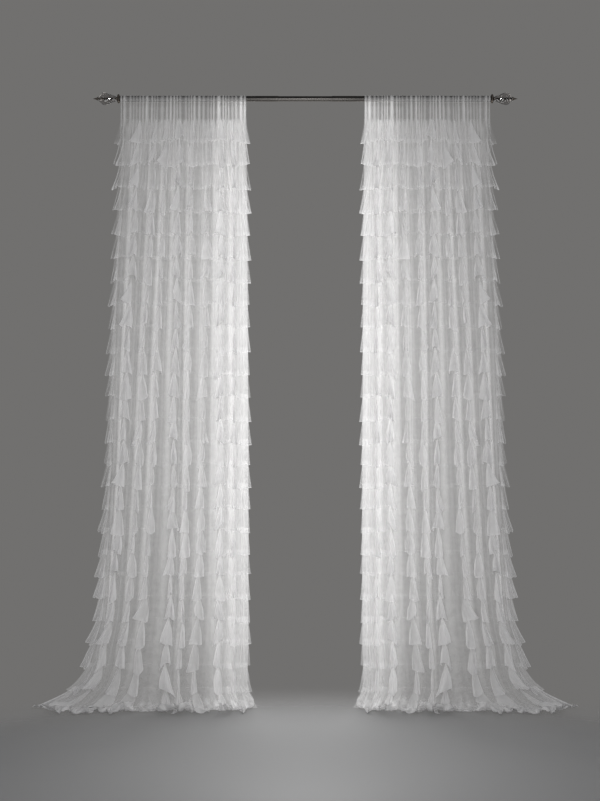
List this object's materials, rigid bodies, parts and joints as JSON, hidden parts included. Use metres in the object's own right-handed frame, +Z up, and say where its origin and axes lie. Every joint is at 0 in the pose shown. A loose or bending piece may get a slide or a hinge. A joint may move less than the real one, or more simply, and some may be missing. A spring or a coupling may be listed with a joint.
{
  "type": "rod pocket curtain pair on a curtain rod",
  "caption": "Pair of sheer white rod pocket curtains with rows of gathered ruffles, pooling on the floor, on a metal rod with faceted glass finials.",
  "frame": {"origin": "middle of the rod's axis, where its wall supports carry it", "axes": "+X along the rod to the right as seen from the room, +Y towards the wall, +Z up"},
  "size_m": [2.1756, 0.1643, 2.455],
  "materials": {
    "chiffon_panel": "sheer woven chiffon",
    "chiffon_ruffle": "sheer woven chiffon with a narrow rolled hem",
    "rod_metal": "dark polished metal",
    "finial_metal": "dark polished metal",
    "finial_glass": "clear faceted glass"
  },
  "bodies": {
    "root": {"rod": "rod_metal", "finial_left_spindle": "finial_metal", "finial_left_glass": "finial_glass", "finial_right_spindle": "finial_metal", "finial_right_glass": "finial_glass", "panel_left": "chiffon_panel", "panel_right": "chiffon_panel", "ruffle_left_01": "chiffon_ruffle", "ruffle_left_02": "chiffon_ruffle", "ruffle_left_03": "chiffon_ruffle", "ruffle_left_04": "chiffon_ruffle", "ruffle_left_05": "chiffon_ruffle", "ruffle_left_06": "chiffon_ruffle", "ruffle_left_07": "chiffon_ruffle", "ruffle_left_08": "chiffon_ruffle", "ruffle_left_09": "chiffon_ruffle", "ruffle_left_10": "chiffon_ruffle", "ruffle_left_11": "chiffon_ruffle", "ruffle_left_12": "chiffon_ruffle", "ruffle_left_13": "chiffon_ruffle", "ruffle_left_14": "chiffon_ruffle", "ruffle_left_15": "chiffon_ruffle", "ruffle_left_16": "chiffon_ruffle", "ruffle_left_17": "chiffon_ruffle", "ruffle_left_18": "chiffon_ruffle", "ruffle_left_19": "chiffon_ruffle", "ruffle_left_20": "chiffon_ruffle", "ruffle_left_21": "chiffon_ruffle", "ruffle_left_22": "chiffon_ruffle", "ruffle_left_23": "chiffon_ruffle", "ruffle_left_24": "chiffon_ruffle", "ruffle_left_25": "chiffon_ruffle", "ruffle_left_26": "chiffon_ruffle", "ruffle_right_01": "chiffon_ruffle", "ruffle_right_02": "chiffon_ruffle", "ruffle_right_03": "chiffon_ruffle", "ruffle_right_04": "chiffon_ruffle", "ruffle_right_05": "chiffon_ruffle", "ruffle_right_06": "chiffon_ruffle", "ruffle_right_07": "chiffon_ruffle", "ruffle_right_08": "chiffon_ruffle", "ruffle_right_09": "chiffon_ruffle", "ruffle_right_10": "chiffon_ruffle", "ruffle_right_11": "chiffon_ruffle", "ruffle_right_12": "chiffon_ruffle", "ruffle_right_13": "chiffon_ruffle", "ruffle_right_14": "chiffon_ruffle", "ruffle_right_15": "chiffon_ruffle", "ruffle_right_16": "chiffon_ruffle", "ruffle_right_17": "chiffon_ruffle", "ruffle_right_18": "chiffon_ruffle", "ruffle_right_19": "chiffon_ruffle", "ruffle_right_20": "chiffon_ruffle", "ruffle_right_21": "chiffon_ruffle", "ruffle_right_22": "chiffon_ruffle", "ruffle_right_23": "chiffon_ruffle", "ruffle_right_24": "chiffon_ruffle", "ruffle_right_25": "chiffon_ruffle", "ruffle_right_26": "chiffon_ruffle"}
  },
  "joints": []
}
